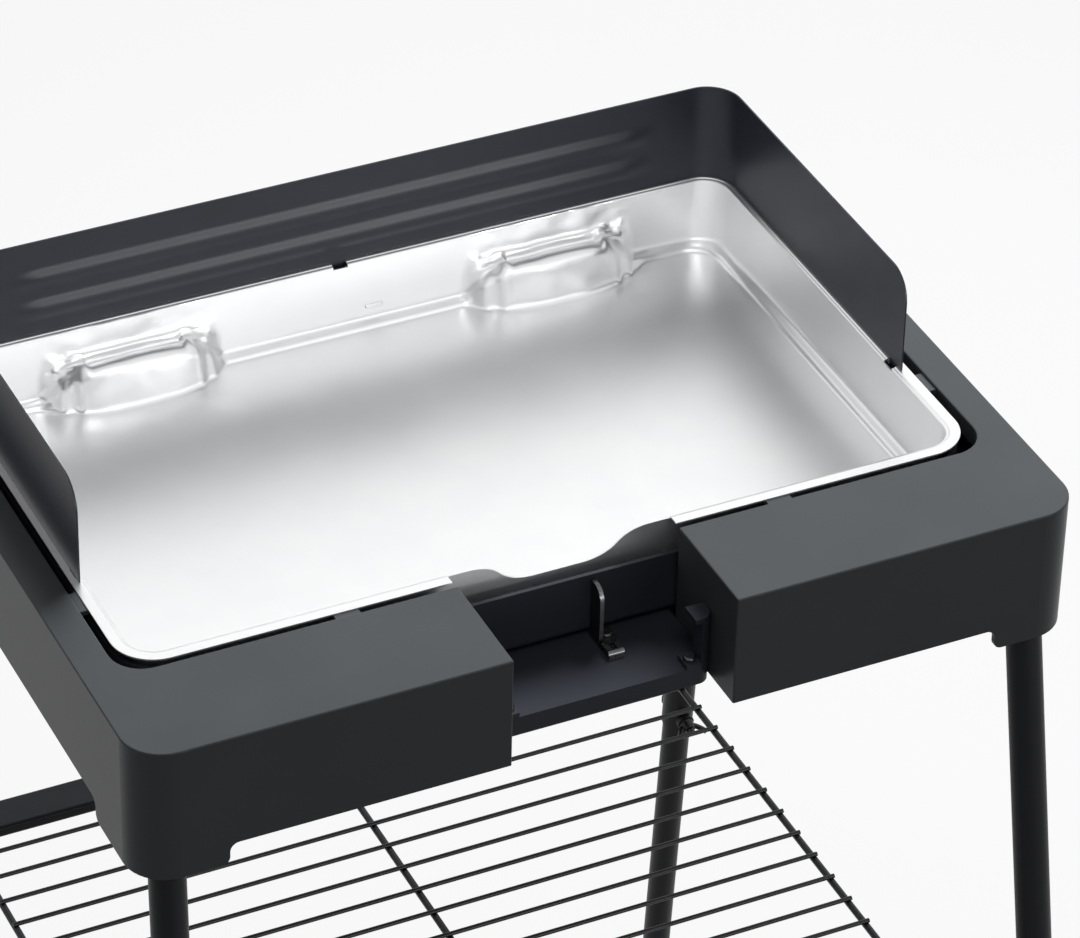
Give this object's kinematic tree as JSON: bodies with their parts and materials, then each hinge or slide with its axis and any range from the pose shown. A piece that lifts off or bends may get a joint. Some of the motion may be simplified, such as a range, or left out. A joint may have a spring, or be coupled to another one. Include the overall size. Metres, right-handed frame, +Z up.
{
  "type": "electric grill with stand",
  "caption": "Electric grill body with a lift-out water tray, a bent wind shield and an open front bay for a plug-in heater, on splayed tube legs with a wire shelf.",
  "frame": {"origin": "on the floor, under the middle of the body and of the four feet", "axes": "+X to the right as seen from the front bay, +Y to the back, +Z up"},
  "size_m": [0.6164, 0.6446, 0.954],
  "materials": {
    "body_plastic": "fine matt moulded, dark anthracite",
    "bay_plastic": "satin moulded, black",
    "tray_aluminium": "pressed, satin bright",
    "shield_enamel": "satin blue-black stove enamel",
    "leg_powder_coat": "satin black powder coat",
    "shelf_wire": "black powder-coated wire",
    "foot_plastic": "matt black",
    "black_hardware": "blackened steel",
    "fitting_plastic": "matt black",
    "bay_steel": "bright spring steel",
    "screw_steel": "zinc plated"
  },
  "bodies": {
    "stand_and_body": {"housing_shell": "body_plastic", "tray_well": "bay_plastic", "bay_floor": "bay_plastic", "interlock_blade": "bay_steel", "blade_screw": "screw_steel", "catch_loop": "bay_steel", "leg_bolts": "black_hardware", "saddle_washers": "fitting_plastic", "leg_lock_screws": "screw_steel", "crossbar_plugs": "fitting_plastic", "crossbar_screws": "screw_steel", "well_screws": "screw_steel", "floor_screws": "screw_steel", "bay_guide_left": "bay_plastic", "bay_guide_right": "bay_plastic", "crossbar_front": "leg_powder_coat", "crossbar_rear": "leg_powder_coat", "upper_leg_front_left": "leg_powder_coat", "lower_leg_front_left": "leg_powder_coat", "foot_cap_front_left": "foot_plastic", "upper_leg_front_right": "leg_powder_coat", "lower_leg_front_right": "leg_powder_coat", "foot_cap_front_right": "foot_plastic", "upper_leg_rear_left": "leg_powder_coat", "lower_leg_rear_left": "leg_powder_coat", "foot_cap_rear_left": "foot_plastic", "upper_leg_rear_right": "leg_powder_coat", "lower_leg_rear_right": "leg_powder_coat", "foot_cap_rear_right": "foot_plastic"},
    "tray": {"water_tray": "tray_aluminium"},
    "shield": {"wind_shield": "shield_enamel"},
    "shelf": {"wire_shelf": "shelf_wire"},
    "wing_nut_front_left": {"wing_nut_front_left": "black_hardware"},
    "wing_nut_front_right": {"wing_nut_front_right": "black_hardware"},
    "wing_nut_rear_left": {"wing_nut_rear_left": "black_hardware"},
    "wing_nut_rear_right": {"wing_nut_rear_right": "black_hardware"}
  },
  "joints": [
    {"name": "tray_lift", "type": "slide", "parent": "stand_and_body", "child": "tray", "axis": [0, 0, 1], "range_m": [0, 0.12]},
    {"name": "shield_lift", "type": "slide", "parent": "tray", "child": "shield", "axis": [0, 0, 1], "range_m": [0, 0.08]},
    {"name": "shelf_lift", "type": "slide", "parent": "stand_and_body", "child": "shelf", "axis": [0, 0, 1], "range_m": [0, 0.08]},
    {"name": "wing_nut_front_left_turn", "type": "hinge", "parent": "stand_and_body", "child": "wing_nut_front_left", "pos_m": [-0.2818, -0.24008, 0.40205], "axis": [-0.0052, 0.99, -0.1407], "continuous": true},
    {"name": "wing_nut_front_right_turn", "type": "hinge", "parent": "stand_and_body", "child": "wing_nut_front_right", "pos_m": [0.2818, -0.24008, 0.40205], "axis": [0.0052, 0.99, -0.1407], "continuous": true},
    {"name": "wing_nut_rear_left_turn", "type": "hinge", "parent": "stand_and_body", "child": "wing_nut_rear_left", "pos_m": [-0.2818, 0.24008, 0.40205], "axis": [-0.0052, -0.99, -0.1407], "continuous": true},
    {"name": "wing_nut_rear_right_turn", "type": "hinge", "parent": "stand_and_body", "child": "wing_nut_rear_right", "pos_m": [0.2818, 0.24008, 0.40205], "axis": [0.0052, -0.99, -0.1407], "continuous": true}
  ]
}
